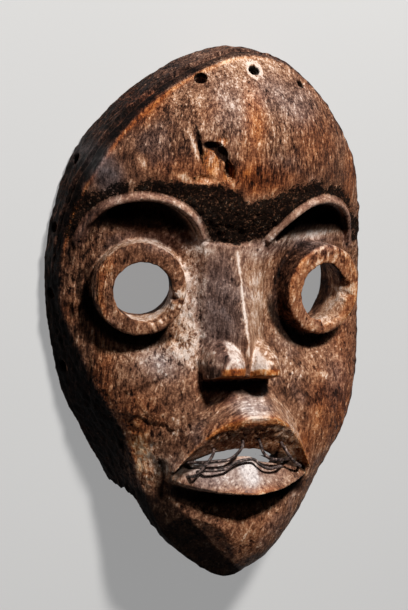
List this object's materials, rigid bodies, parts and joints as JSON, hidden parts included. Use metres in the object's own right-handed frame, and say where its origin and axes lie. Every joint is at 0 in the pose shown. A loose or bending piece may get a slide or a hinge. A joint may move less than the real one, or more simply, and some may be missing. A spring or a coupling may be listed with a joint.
{
  "type": "carved face mask",
  "caption": "Oval carved wooden face mask, hollow behind, with round tube eyes, arched brows, a straight nose and wired lips.",
  "frame": {"origin": "middle of the bounding box, in the plane of the back rim that the mask lies on", "axes": "+X to the viewer's right as one looks at the face, +Y up to the forehead, +Z out of the face"},
  "size_m": [0.1547, 0.2414, 0.071],
  "materials": {
    "wood": "worn dark brown with black soot",
    "wire": "dull grey iron"
  },
  "bodies": {
    "root": {"mask": "wood", "mouth_wire_left_tie": "wire", "mouth_wire_upper_left": "wire", "mouth_wire_lower": "wire", "mouth_wire_upper_right": "wire", "mouth_wire_right_tie": "wire"}
  },
  "joints": []
}
